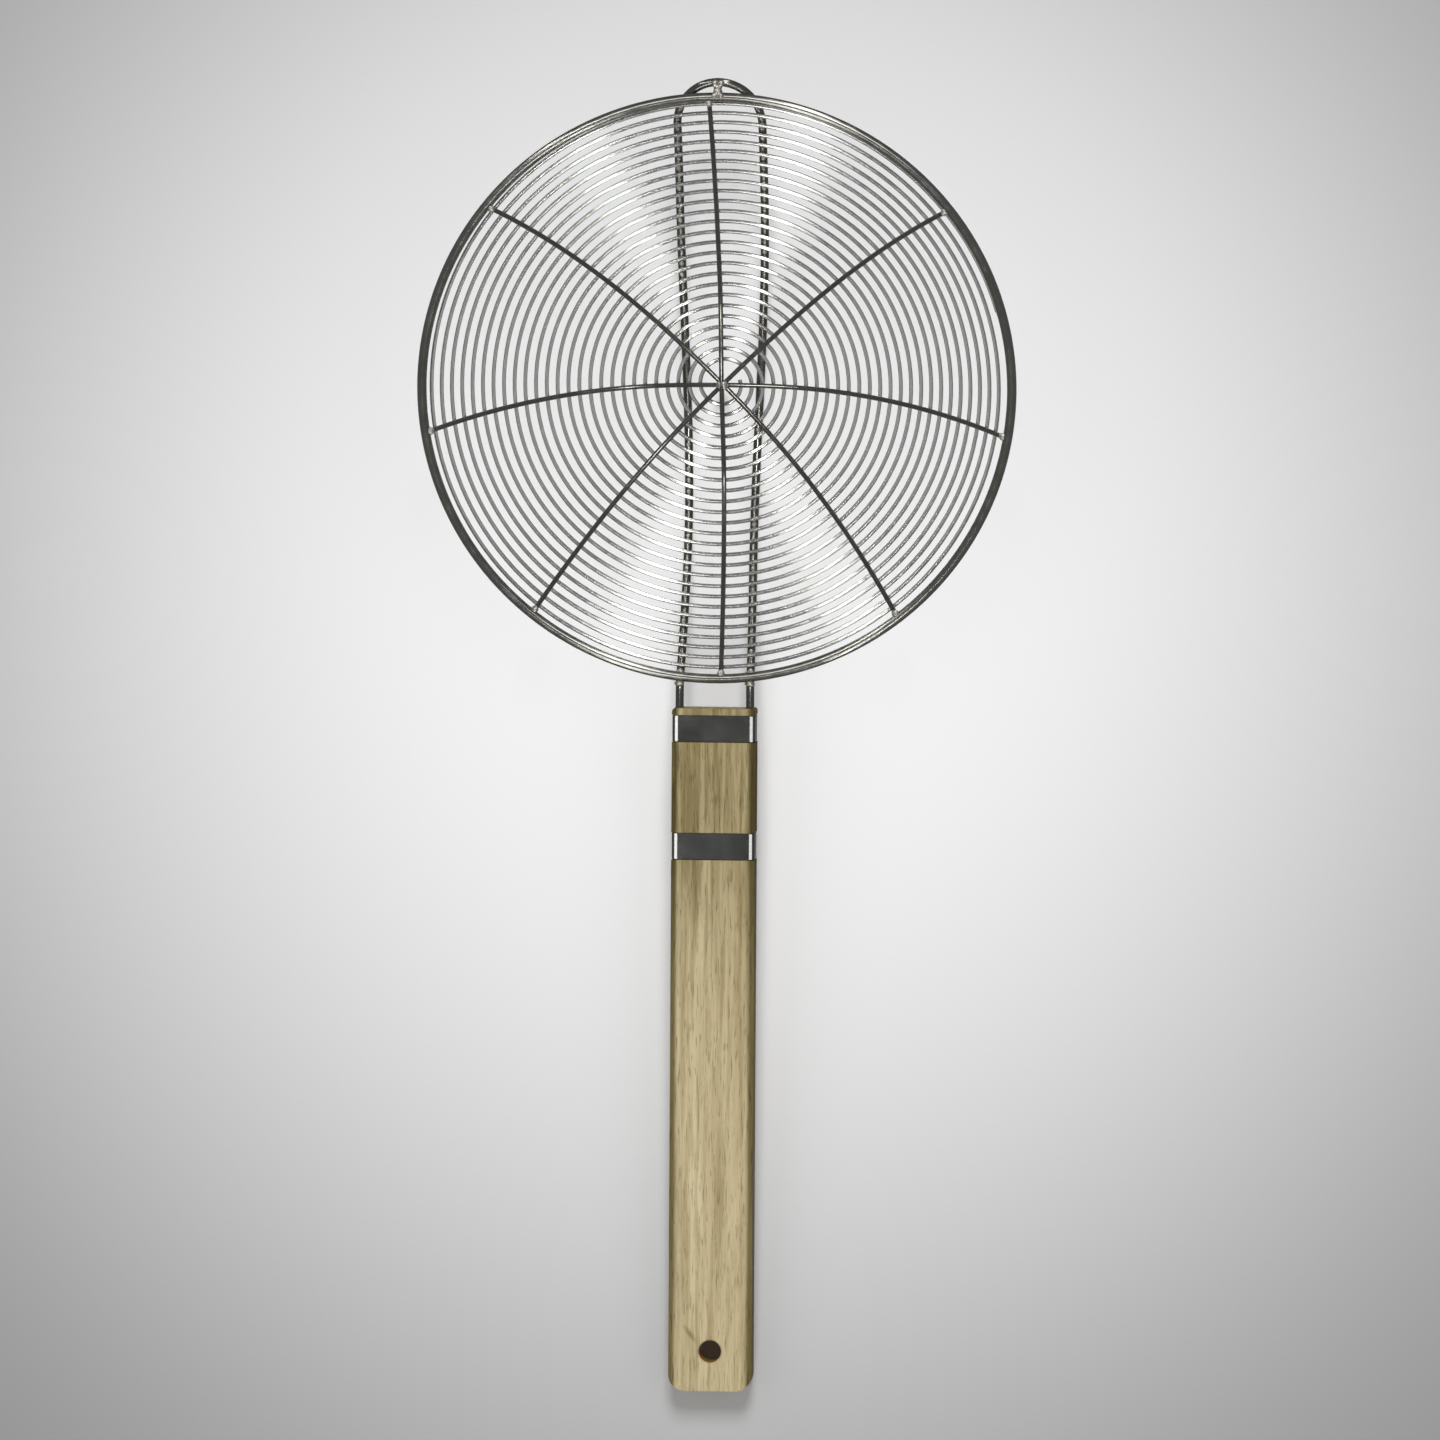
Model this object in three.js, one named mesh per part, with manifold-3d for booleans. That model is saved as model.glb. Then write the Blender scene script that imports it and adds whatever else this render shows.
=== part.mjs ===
// Frying strainer: a shallow bowl of spiral wire on a hairpin frame, with a wooden handle.
// Millimetres. +Y points to the tip of the bowl, +X to the right and +Z up.
// It lies as it is put down, hollow side up, on the two frame legs and the end of the handle.

import * as THREE from "three";
import { mergeVertices } from "three/addons/utils/BufferGeometryUtils.js";
import Module from "manifold-3d";

const wasm = await Module();
wasm.setup();

const { degToRad, lerp, smoothstep } = THREE.MathUtils;

// Bowl
const RIM_WIDTH = 240;
const RIM_LENGTH = 236;
const RIM_WIRE = 3.8;
const BOWL_DEPTH = 35;

// Spiral
const SPIRAL_WIRE = 1.6;
const SPIRAL_TURNS = 26;
const SPIRAL_START_RADIUS = 6.8;
const SPIRAL_END_ANGLE = degToRad(16);

// Spokes
const SPOKE_WIRE = 1.9;
const SPOKE_SWEEP = 18;
const SPOKE_SWEEP_POWER = 2.3;
const HUB_CLIMB_RADIUS = 42;
const LEFT_DIAGONAL_ANGLE = degToRad(135);
const RIGHT_DIAGONAL_ANGLE = degToRad(45);
const CROSS_ANGLE = degToRad(0);
const UPRIGHT_ANGLE = degToRad(91.5);

// Frame
const FRAME_WIRE = 3.3;
const TIP_REACH = 5.8;
const LEG_HALF_AT_WAIST = 13.2;
const LEG_HALF_AT_TIP = 17;
const WAIST_BEFORE_HUB = 60;
const FLARE_PAST_HUB = 75;
const NECK_BEND_RADIUS = 10;
const NECK_LENGTH = 10;
const LEG_PAST_BAND = 6;

// Handle
const HANDLE_LENGTH = 274.5;
const HANDLE_WIDTH = 33.4;
const HANDLE_THICKNESS = 12.5;
const HANDLE_EDGE_RADIUS = 2.6;
const HANDLE_CORNER_RADIUS = 6.5;
const HOLE_DIAMETER = 9;
const HOLE_FROM_END = 16;

// Bands
const BAND_WIDTH = 10.4;
const BAND_THICKNESS = 0.6;
const UPPER_BAND_INSET = 2.8;
const LOWER_BAND_INSET = 50;

// Clearances: between welded wires, for the flat chords of the spiral, and in the seats in the wood
const WELD_GAP = 0.3;
const CHORD_ALLOWANCE = 0.25;
const SEAT_GAP = 0.3;

// Facets
const THIN_WIRE_SIDES = 6;
const THICK_WIRE_SIDES = 8;
const RIM_STEPS = 80;
const SPIRAL_STEPS_PER_TURN = 25;
const SPIRAL_STEP_POWER = 1.35;
const SPOKE_STEPS = 40;
const FRAME_BOWL_STEPS = 36;
const FRAME_BEND_STEPS = 12;
const FRAME_NECK_STEPS = 5;
const CORNER_SEGMENTS = 3;
const HOLE_SIDES = 24;

// Cutters run this far past what they cut
const CUT_PAST = 2;

// Search for the angle at which the strainer rests
const STEEPEST_REST = degToRad(20);
const REST_HALVINGS = 30;

// Finishes
const WIRE_STEEL = { color: "#b9babb", roughness: 0.22, metalness: 1 };
const BAND_STEEL = { color: "#8b8b88", roughness: 0.3, metalness: 1 };
const WOOD = { color: "#b9aa82", roughness: 0.6, metalness: 0 };

const rimRadius = RIM_WIRE / 2;
const spiralRadius = SPIRAL_WIRE / 2;
const spokeRadius = SPOKE_WIRE / 2;
const frameRadius = FRAME_WIRE / 2;

// The bowl is part of a sphere, a little shorter than it is wide, with the rim at height zero.
// The middle of the spiral wire lies on it. Spokes are lifted to its inside, and the frame to its outside.
const oval = RIM_LENGTH / RIM_WIDTH;
const rimCentreRadius = RIM_WIDTH / 2 - rimRadius;
const rimLift = rimRadius - spiralRadius;
const bowlRadius = (rimCentreRadius ** 2 + BOWL_DEPTH ** 2 - rimLift ** 2) / (2 * (BOWL_DEPTH - rimLift));
const bowlCentreHeight = bowlRadius - BOWL_DEPTH;
const spokeLift = spiralRadius + spokeRadius + WELD_GAP + CHORD_ALLOWANCE;
const frameLift = -(spiralRadius + frameRadius + WELD_GAP);

function onBowl(x, y, lift) {
  const z = bowlCentreHeight - Math.sqrt((bowlRadius - lift) ** 2 - x ** 2 - (y / oval) ** 2);
  return new THREE.Vector3(x, y, z);
}

// A curve whose steps follow its own parameter, so that the shape sets the length of each facet
class ShapedCurve extends THREE.Curve {
  constructor(pointAt) {
    super();
    this.pointAt = pointAt;
  }
  getPoint(t, target = new THREE.Vector3()) {
    return target.copy(this.pointAt(t));
  }
  getPointAt(u, target) {
    return this.getPoint(u, target);
  }
  getTangentAt(u, target) {
    return this.getTangent(u, target);
  }
}

function wire(pointAt, radius, sides, steps) {
  const section = new THREE.Shape().absarc(0, 0, radius, 0, 2 * Math.PI);
  const extrudePath = new ShapedCurve(pointAt);
  return new THREE.ExtrudeGeometry(section, { extrudePath, steps, curveSegments: sides / 2 });
}

// Rim: a ring of thick wire round the mouth of the bowl
function rimGeometry() {
  const ring = new THREE.TorusGeometry(rimCentreRadius, rimRadius, THICK_WIRE_SIDES, RIM_STEPS);
  return ring.scale(1, oval, 1);
}

// Spiral: its turns lie equally far apart along the bowl, and its outer end closes on the inside of the rim.
const rimArc = bowlRadius * Math.asin(rimCentreRadius / (bowlRadius - rimLift));
const rimContact = rimRadius + spiralRadius + WELD_GAP;
const spiralStartArc = bowlRadius * Math.asin(SPIRAL_START_RADIUS / bowlRadius);
const spiralEndArc = rimArc - Math.sqrt(rimContact ** 2 - rimLift ** 2);
const spiralPitch = (spiralEndArc - spiralStartArc) / SPIRAL_TURNS;
const spiralSteps = SPIRAL_STEPS_PER_TURN * SPIRAL_TURNS;

// The power gives the wide outer turns more steps than the narrow inner ones.
function spiralPoint(t) {
  const start = spiralStartArc ** SPIRAL_STEP_POWER;
  const end = spiralEndArc ** SPIRAL_STEP_POWER;
  const arc = lerp(start, end, t) ** (1 / SPIRAL_STEP_POWER);
  const turn = SPIRAL_END_ANGLE + (2 * Math.PI * (spiralEndArc - arc)) / spiralPitch;
  const reach = bowlRadius * Math.sin(arc / bowlRadius);
  return onBowl(reach * Math.cos(turn), reach * Math.sin(turn) * oval, 0);
}

function spiralGeometry() {
  return wire(spiralPoint, spiralRadius, THIN_WIRE_SIDES, spiralSteps);
}

function leastSpiralGap() {
  const points = Array.from({ length: spiralSteps + 1 }, (_, step) => spiralPoint(step / spiralSteps));
  const apart = Math.floor(SPIRAL_STEPS_PER_TURN / 2);
  const nearest = points.slice(0, -apart).map((point, step) => {
    return Math.min(...points.slice(step + apart).map((other) => other.distanceTo(point)));
  });
  return Math.min(...nearest) - SPIRAL_WIRE;
}

// Spokes: wires that cross at the hub, one on top of the other, and end on the inside of the rim.
// Each arm leaves the hub straight and then sweeps toward the handle.
const armEndRadius = rimCentreRadius - rimRadius - WELD_GAP - CHORD_ALLOWANCE;

function armReach(angle) {
  const sweep = SPOKE_SWEEP / oval;
  return sweep * Math.sin(angle) + Math.sqrt(armEndRadius ** 2 - (sweep * Math.cos(angle)) ** 2);
}

function spokeGeometry(angle, layer) {
  const climb = layer * (SPOKE_WIRE + WELD_GAP);
  const pointAt = (t) => {
    const out = 2 * t - 1;
    const armAngle = out < 0 ? angle : angle + Math.PI;
    const reach = Math.abs(out) * armReach(armAngle);
    const x = reach * Math.cos(armAngle);
    const y = reach * Math.sin(armAngle) * oval - SPOKE_SWEEP * Math.abs(out) ** SPOKE_SWEEP_POWER;
    return onBowl(x, y, spokeLift + climb * (1 - smoothstep(reach, 0, HUB_CLIMB_RADIUS)));
  };
  return wire(pointAt, spokeRadius, THIN_WIRE_SIDES, SPOKE_STEPS);
}

// Frame: a hairpin under the bowl. Its bend stands out past the rim at the tip.
// Its legs pass under the rim, level out at the neck and lie in the sides of the handle.
const bendCentreY = RIM_LENGTH / 2 + TIP_REACH - frameRadius - LEG_HALF_AT_TIP;
const rimPassY = -rimCentreRadius * oval;
const handleTopY = -RIM_LENGTH / 2 - NECK_LENGTH;
const legEndY = handleTopY - LOWER_BAND_INSET - BAND_WIDTH - LEG_PAST_BAND;
const legHalfAtHandle = HANDLE_WIDTH / 2 - BAND_THICKNESS - SEAT_GAP - frameRadius;

function legHalf(y) {
  const narrow = lerp(legHalfAtHandle, LEG_HALF_AT_WAIST, smoothstep(y, handleTopY, -WAIST_BEFORE_HUB));
  return lerp(narrow, LEG_HALF_AT_TIP, smoothstep(y, -WAIST_BEFORE_HUB, FLARE_PAST_HUB));
}

const passHeight = onBowl(legHalf(rimPassY), rimPassY, frameLift).z;
const passSlope = Math.asin(rimCentreRadius / (bowlRadius - frameLift));
const neckRun = NECK_BEND_RADIUS * Math.sin(passSlope);
const legHeight = passHeight + NECK_BEND_RADIUS * (1 - Math.cos(passSlope));

function steps(count, pointAt) {
  return Array.from({ length: count }, (_, step) => pointAt(step / count));
}

function legPoints(side) {
  const underBowl = steps(FRAME_BOWL_STEPS, (t) => {
    const y = lerp(bendCentreY, rimPassY, t);
    return onBowl(side * legHalf(y), y, frameLift);
  });
  const neck = steps(FRAME_NECK_STEPS, (t) => {
    const angle = passSlope * (1 - t);
    const y = rimPassY - neckRun + NECK_BEND_RADIUS * Math.sin(angle);
    const z = legHeight - NECK_BEND_RADIUS * (1 - Math.cos(angle));
    return new THREE.Vector3(side * legHalf(y), y, z);
  });
  const level = [rimPassY - neckRun, handleTopY, legEndY].map((y) => {
    return new THREE.Vector3(side * legHalf(y), y, legHeight);
  });
  return [...underBowl, ...neck, ...level];
}

function frameGeometry() {
  const bend = steps(FRAME_BEND_STEPS, (t) => {
    const x = -LEG_HALF_AT_TIP * Math.cos(Math.PI * t);
    return onBowl(x, bendCentreY + LEG_HALF_AT_TIP * Math.sin(Math.PI * t), frameLift);
  });
  const points = [...legPoints(-1).slice(1).reverse(), ...bend, ...legPoints(1)];
  const last = points.length - 1;
  const pointAt = (t) => {
    const step = Math.min(Math.floor(t * last), last - 1);
    return points[step].clone().lerp(points[step + 1], t * last - step);
  };
  return wire(pointAt, frameRadius, THICK_WIRE_SIDES, last);
}

// Solids that are cut and joined
function toSolid(geometry) {
  const bare = geometry.clone();
  bare.deleteAttribute("normal");
  bare.deleteAttribute("uv");
  const merged = mergeVertices(bare);
  const vertProperties = new Float32Array(merged.attributes.position.array);
  const triVerts = new Uint32Array(merged.index.array);
  return new wasm.Manifold(new wasm.Mesh({ numProp: 3, vertProperties, triVerts }));
}

function toGeometry(solid) {
  const { vertProperties, triVerts } = solid.getMesh();
  const geometry = new THREE.BufferGeometry();
  geometry.setAttribute("position", new THREE.BufferAttribute(vertProperties, 3));
  geometry.setIndex(new THREE.BufferAttribute(triVerts, 1));
  geometry.computeVertexNormals();
  return geometry;
}

// The handle and its bands have their own frame, with the head end of the handle at zero.
function handleSection(inset) {
  const x = HANDLE_WIDTH / 2 - inset;
  const y = HANDLE_THICKNESS / 2 - inset;
  const radius = HANDLE_EDGE_RADIUS - inset;
  const quarter = Math.PI / 2;
  const section = new THREE.Shape();
  section.absarc(x - radius, y - radius, radius, 0, quarter);
  section.absarc(radius - x, y - radius, radius, quarter, 2 * quarter);
  section.absarc(radius - x, radius - y, radius, 2 * quarter, 3 * quarter);
  section.absarc(x - radius, radius - y, radius, 3 * quarter, 4 * quarter);
  return section;
}

function drawnOut(section, depth, curveSegments) {
  return new THREE.ExtrudeGeometry(section, { depth, curveSegments, bevelEnabled: false });
}

function alongHandle(section, fromEnd, toHead) {
  return drawnOut(section, toHead - fromEnd, CORNER_SEGMENTS).rotateX(-Math.PI / 2).translate(0, fromEnd, 0);
}

// Bands: thin straps, flush with the wood
function bandGeometry(inset) {
  const strap = handleSection(0);
  strap.holes.push(handleSection(BAND_THICKNESS));
  return alongHandle(strap, -inset - BAND_WIDTH, -inset);
}

function rebateCutter(inset) {
  const collar = handleSection(-CUT_PAST);
  collar.holes.push(handleSection(BAND_THICKNESS + SEAT_GAP));
  return toSolid(alongHandle(collar, -inset - BAND_WIDTH - SEAT_GAP, -inset + SEAT_GAP));
}

function grooveCutter(turn) {
  const half = frameRadius + SEAT_GAP;
  const outside = HANDLE_WIDTH / 2 + CUT_PAST;
  const slot = new THREE.Shape();
  slot.moveTo(outside, half);
  slot.lineTo(legHalfAtHandle, half);
  slot.absarc(legHalfAtHandle, 0, half, Math.PI / 2, 1.5 * Math.PI);
  slot.lineTo(outside, -half);
  return toSolid(alongHandle(slot, legEndY - handleTopY - SEAT_GAP, CUT_PAST).rotateY(turn));
}

// Handle: a bar with rounded long edges and a rounded end, grooves for the legs,
// rebates for the bands and a hole to hang it by
function handleGeometry() {
  const x = HANDLE_WIDTH / 2;
  const end = -HANDLE_LENGTH;
  const corner = HANDLE_CORNER_RADIUS;
  const depth = HANDLE_THICKNESS + 2 * CUT_PAST;
  const outline = new THREE.Shape();
  outline.moveTo(x + CUT_PAST, CUT_PAST);
  outline.lineTo(-x - CUT_PAST, CUT_PAST);
  outline.lineTo(-x - CUT_PAST, end + corner);
  outline.absarc(corner - x, end + corner, corner, Math.PI, 1.5 * Math.PI);
  outline.absarc(x - corner, end + corner, corner, 1.5 * Math.PI, 2 * Math.PI);
  outline.lineTo(x + CUT_PAST, end + corner);
  const plan = drawnOut(outline, depth, 2 * CORNER_SEGMENTS);
  const hole = new THREE.CylinderGeometry(HOLE_DIAMETER / 2, HOLE_DIAMETER / 2, depth, HOLE_SIDES);
  const solid = toSolid(alongHandle(handleSection(0), end, 0))
    .intersect(toSolid(plan.translate(0, 0, -depth / 2)))
    .subtract(toSolid(hole.rotateX(Math.PI / 2).translate(0, end + HOLE_FROM_END, 0)))
    .subtract(grooveCutter(0))
    .subtract(grooveCutter(Math.PI))
    .subtract(rebateCutter(UPPER_BAND_INSET))
    .subtract(rebateCutter(LOWER_BAND_INSET));
  return toGeometry(solid);
}

function piece(name, geometry, finish) {
  const mesh = new THREE.Mesh(geometry, new THREE.MeshStandardMaterial(finish));
  mesh.name = name;
  return mesh;
}

const frame = piece("frame_wire", frameGeometry(), WIRE_STEEL);
const handle = piece("handle", handleGeometry(), WOOD);

const grip = new THREE.Group();
grip.position.set(0, handleTopY, legHeight);
grip.add(handle);
grip.add(piece("upper_band", bandGeometry(UPPER_BAND_INSET), BAND_STEEL));
grip.add(piece("lower_band", bandGeometry(LOWER_BAND_INSET), BAND_STEEL));

const strainer = new THREE.Group();
strainer.add(grip);
strainer.add(frame);
strainer.add(piece("rim_wire", rimGeometry(), WIRE_STEEL));
strainer.add(piece("spiral_wire", spiralGeometry(), WIRE_STEEL));
const spokes = [
  ["left_diagonal_spoke", LEFT_DIAGONAL_ANGLE],
  ["right_diagonal_spoke", RIGHT_DIAGONAL_ANGLE],
  ["cross_spoke", CROSS_ANGLE],
  ["upright_spoke", UPRIGHT_ANGLE],
];
spokes.forEach(([name, angle], layer) => strainer.add(piece(name, spokeGeometry(angle, layer), WIRE_STEEL)));

// The strainer lies on its frame and on the end of its handle: its tip rises until both touch the ground.
function boxOf(object) {
  strainer.updateMatrixWorld(true);
  return new THREE.Box3().setFromObject(object, true);
}

let low = 0;
let high = STEEPEST_REST;
for (let halving = 0; halving < REST_HALVINGS; halving += 1) {
  strainer.rotation.x = (low + high) / 2;
  const handleIsHigher = boxOf(handle).min.z > boxOf(frame).min.z;
  low = handleIsHigher ? strainer.rotation.x : low;
  high = handleIsHigher ? high : strainer.rotation.x;
}

// The origin is under the middle, on the ground.
const box = boxOf(strainer);
const middle = box.getCenter(new THREE.Vector3());
strainer.position.set(-middle.x, -middle.y, -box.min.z);

console.log(`spiral pitch ${spiralPitch.toFixed(2)} mm, least gap ${leastSpiralGap().toFixed(2)} mm`);
console.log(`rest angle ${THREE.MathUtils.radToDeg(strainer.rotation.x).toFixed(2)} degrees`);

const part = new THREE.Group();
part.add(strainer);

export default part;
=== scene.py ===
# %% [markdown]
# # A frying strainer
# A cook lifts fried food out of hot oil with this tool and lets it drip. One long spiral wire forms a shallow
# bowl. Four spokes and a hairpin frame carry it, a thick wire rims it, and two steel bands hold the frame in the
# sides of a flat wooden handle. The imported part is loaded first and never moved. Each wire is then drawn again on
# the same centre line, but round and smooth, so that light runs along it as it does on steel.

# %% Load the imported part
import math

import bmesh
import bpy
from mathutils import Matrix, Vector, noise


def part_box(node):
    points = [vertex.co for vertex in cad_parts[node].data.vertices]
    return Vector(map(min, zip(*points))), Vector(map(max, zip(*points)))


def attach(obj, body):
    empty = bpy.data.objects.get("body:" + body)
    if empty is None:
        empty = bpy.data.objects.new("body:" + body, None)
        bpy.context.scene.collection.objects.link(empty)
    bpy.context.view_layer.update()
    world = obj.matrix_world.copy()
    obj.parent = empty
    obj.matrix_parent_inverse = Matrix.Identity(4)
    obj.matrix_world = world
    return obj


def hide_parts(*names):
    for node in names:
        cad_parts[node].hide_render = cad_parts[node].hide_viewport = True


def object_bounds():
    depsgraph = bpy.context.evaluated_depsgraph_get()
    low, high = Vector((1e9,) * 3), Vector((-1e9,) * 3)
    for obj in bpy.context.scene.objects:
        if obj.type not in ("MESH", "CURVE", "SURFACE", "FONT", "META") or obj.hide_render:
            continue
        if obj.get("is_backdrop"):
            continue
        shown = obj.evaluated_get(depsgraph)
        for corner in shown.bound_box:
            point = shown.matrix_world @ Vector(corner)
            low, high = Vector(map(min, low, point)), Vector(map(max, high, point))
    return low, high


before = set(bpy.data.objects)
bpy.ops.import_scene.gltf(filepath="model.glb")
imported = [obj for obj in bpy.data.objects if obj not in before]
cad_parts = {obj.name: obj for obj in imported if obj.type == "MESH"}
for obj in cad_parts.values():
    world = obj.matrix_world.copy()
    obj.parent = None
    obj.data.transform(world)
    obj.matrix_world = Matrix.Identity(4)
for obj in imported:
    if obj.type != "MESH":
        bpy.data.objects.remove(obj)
cad_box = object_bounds()
print("packed nodes:", ", ".join(sorted(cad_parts)))

# %% [markdown]
# # Sizes
# All sizes are in millimetres, and points are turned to metres only when a mesh or curve is made. The bowl has a
# frame of its own, with the rim at height zero, the hub on the axis and +Y pointing to the tip. The strainer lies
# with its tip a little raised, so every piece is made in the bowl's frame and one matrix puts it down.

# %% Sizes and the resting place
MM = 0.001
RIM_WIDTH, RIM_LENGTH, RIM_WIRE, BOWL_DEPTH = 240, 236, 3.8, 35
SPIRAL_WIRE, SPIRAL_TURNS, SPIRAL_START_RADIUS = 1.6, 26, 6.8
SPOKE_WIRE, SPOKE_SWEEP, SPOKE_SWEEP_POWER, HUB_CLIMB_RADIUS = 1.9, 18, 2.3, 42
FRAME_WIRE, TIP_REACH, NECK_BEND_RADIUS, NECK_LENGTH, LEG_PAST_BAND = 3.3, 5.8, 10, 10, 6
LEG_HALF_AT_WAIST, LEG_HALF_AT_TIP, WAIST_BEFORE_HUB, FLARE_PAST_HUB = 13.2, 17, 60, 75
HANDLE_LENGTH, HANDLE_WIDTH, HANDLE_THICKNESS = 274.5, 33.4, 12.5
HANDLE_EDGE_RADIUS, HANDLE_CORNER_RADIUS, HOLE_DIAMETER, HOLE_FROM_END = 2.6, 6.5, 9, 16
BAND_WIDTH, BAND_THICKNESS, UPPER_BAND_INSET, LOWER_BAND_INSET = 10.4, 0.6, 2.8, 50
WELD_GAP, CHORD_ALLOWANCE, SEAT_GAP = 0.3, 0.25, 0.3
SPIRAL_END_ANGLE = math.radians(16)
REST_TILT = math.radians(4.37678)
RIM_CENTRE = Vector((0, 0.13907, 0.03949))
resting = Matrix.Translation(RIM_CENTRE) @ Matrix.Rotation(REST_TILT, 4, "X")
print(f"the strainer lies at a tilt of {math.degrees(REST_TILT):.1f} degrees")

# %% [markdown]
# # The bowl's surface
# The spiral is wound on a former and pressed into a dish. A dish this shallow is close to part of a sphere, so the
# middle of the spiral wire lies on one sphere, slightly squeezed along the handle. A spoke or the frame follows the
# same sphere at its own height, a lift above or below, which keeps every wire the right distance from the next.

# %% The bowl's surface
rim_radius, spiral_radius = RIM_WIRE / 2, SPIRAL_WIRE / 2
spoke_radius, frame_radius = SPOKE_WIRE / 2, FRAME_WIRE / 2
oval = RIM_LENGTH / RIM_WIDTH
rim_reach = RIM_WIDTH / 2 - rim_radius
rim_lift = rim_radius - spiral_radius
bowl_radius = (rim_reach**2 + BOWL_DEPTH**2 - rim_lift**2) / (2 * (BOWL_DEPTH - rim_lift))
bowl_centre = bowl_radius - BOWL_DEPTH
spoke_lift = spiral_radius + spoke_radius + WELD_GAP + CHORD_ALLOWANCE
frame_lift = -(spiral_radius + frame_radius + WELD_GAP)


def on_bowl(x, y, lift):
    return Vector((x, y, bowl_centre - math.sqrt((bowl_radius - lift) ** 2 - x**2 - (y / oval) ** 2)))


def outward(point):
    """The direction from the bowl's wires into the hollow, at a point."""
    return (Vector((0, 0, bowl_centre)) - Vector((point.x, point.y / oval, point.z))).normalized()


print(f"the bowl is part of a sphere of {bowl_radius:.1f} mm")

# %% [markdown]
# # Tools for materials
# A colour is given as an sRGB hex value, but a shader counts light, so one function turns hex to linear
# values. Another adds a node with its settings and links in one line. A noise texture's scale is the number of
# blotches in a metre, so a pattern's real width in millimetres gives the scale directly.


# %% Colours, nodes and pattern scales
def linear(hex_colour):
    parts = [int(hex_colour[i : i + 2], 16) / 255 for i in (1, 3, 5)]
    return [c / 12.92 if c <= 0.04045 else ((c + 0.055) / 1.055) ** 2.4 for c in parts] + [1]


def add(tree, kind, settings=(), links=()):
    """Adds one node. Settings name its properties or sockets, and links name the sockets that others feed."""
    node = tree.nodes.new(kind)
    for name, value in dict(settings).items():
        if isinstance(name, str) and hasattr(node, name):
            setattr(node, name, value)
        else:
            node.inputs[name].default_value = value
    for name, source in dict(links).items():
        tree.links.new(source, node.inputs[name])
    return node


def scale_for(width_mm):
    return 1 / (width_mm * MM)


def start_finish(name):
    """A new material, its node tree, its shader and the place of each point in the bowl's frame."""
    finish = bpy.data.materials.new(name)
    finish.use_nodes = True
    tree = finish.node_tree
    place = add(tree, "ShaderNodeTexCoord").outputs["Object"]
    laid = {"vector_type": "TEXTURE", "Location": RIM_CENTRE, "Rotation": (REST_TILT, 0, 0)}
    place = add(tree, "ShaderNodeMapping", laid, {"Vector": place}).outputs["Vector"]
    return finish, tree, tree.nodes["Principled BSDF"], place


# A Mix node has sockets for numbers, vectors and colours under the same names, so its colours are named by number.
MIX_A, MIX_B, MIX_RESULT = 6, 7, 2

# %% [markdown]
# # Drawn steel wire
# The wires are stainless steel, drawn through a die and then polished. That gives a bright mirror with a slight
# haze: die lines and handling leave cloudy patches a few millimetres long that are duller than the rest, so the
# patches change the roughness more than the colour. The thin spiral is brightest and clearest. The rim is a
# thicker rod, and the rim, the frame and the spokes get darker copies of the same steel, painted shade for their
# darker reflections, so one recipe makes all three steels.

# %% Drawn steel wire
WIRE_HAZE_MM, WIRE_SCRATCH_MM = 5, 0.9


def drawn_steel(name, dark, light, clear=0.15, dull=0.25):
    """Steel between two colours, with a roughness of clear where it is bright and dull where it is hazy."""
    finish, tree, shader, place = start_finish(name)
    haze = add(tree, "ShaderNodeTexNoise", {"Scale": scale_for(WIRE_HAZE_MM), "Detail": 4}, {"Vector": place})
    scratch = add(tree, "ShaderNodeTexNoise", {"Scale": scale_for(WIRE_SCRATCH_MM), "Detail": 2}, {"Vector": place})
    dulled = {"From Min": 0.35, "From Max": 0.7, "To Min": clear, "To Max": dull}
    rough = add(tree, "ShaderNodeMapRange", dulled, {"Value": haze.outputs["Fac"]})
    tint = {"data_type": "RGBA", MIX_A: linear(dark), MIX_B: linear(light)}
    colour = add(tree, "ShaderNodeMix", tint, {"Factor": haze.outputs["Fac"]})
    bump = add(tree, "ShaderNodeBump", {"Strength": 0.03, "Distance": 0.00003}, {"Height": scratch.outputs["Fac"]})
    tree.links.new(colour.outputs[MIX_RESULT], shader.inputs["Base Color"])
    tree.links.new(rough.outputs["Result"], shader.inputs["Roughness"])
    tree.links.new(bump.outputs["Normal"], shader.inputs["Normal"])
    shader.inputs["Metallic"].default_value = 1
    print("finish:", finish.name)
    return finish


wire_steel = drawn_steel("drawn_stainless_wire", "#cfcec9", "#dcdbd7", clear=0.12, dull=0.2)
# Painted shade: the rim and the rods of the frame and spokes are darker copies of the same steel, for their darker
# reflections.
rim_steel_painted_darker = drawn_steel("polished_steel_rod_painted_darker", "#807f79", "#989791")
rod_steel_painted_darker = drawn_steel("steel_rod_painted_darker", "#706f69", "#8c8b85")

# %% [markdown]
# # Weld metal
# Where wires meet, a spot of steel melted and froze again. Weld metal is paler and rougher than drawn wire, with
# fine ripples and a faint straw tint from the heat, so each joint catches light as a small bright bead.

# %% Weld metal
RIPPLE_MM, HEAT_TINT_MM = 0.8, 3
weld_metal, tree, shader, place = start_finish("weld_metal")
ripple = add(tree, "ShaderNodeTexNoise", {"Scale": scale_for(RIPPLE_MM), "Detail": 3}, {"Vector": place})
heat = add(tree, "ShaderNodeTexNoise", {"Scale": scale_for(HEAT_TINT_MM), "Detail": 2}, {"Vector": place})
tint = {"data_type": "RGBA", MIX_A: linear("#d9d8d4"), MIX_B: linear("#b7ae9d")}
colour = add(tree, "ShaderNodeMix", tint, {"Factor": heat.outputs["Fac"]})
grain = {"From Min": 0.3, "From Max": 0.7, "To Min": 0.28, "To Max": 0.5}
rough = add(tree, "ShaderNodeMapRange", grain, {"Value": ripple.outputs["Fac"]})
bump = add(tree, "ShaderNodeBump", {"Strength": 0.4, "Distance": 0.0002}, {"Height": ripple.outputs["Fac"]})
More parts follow.
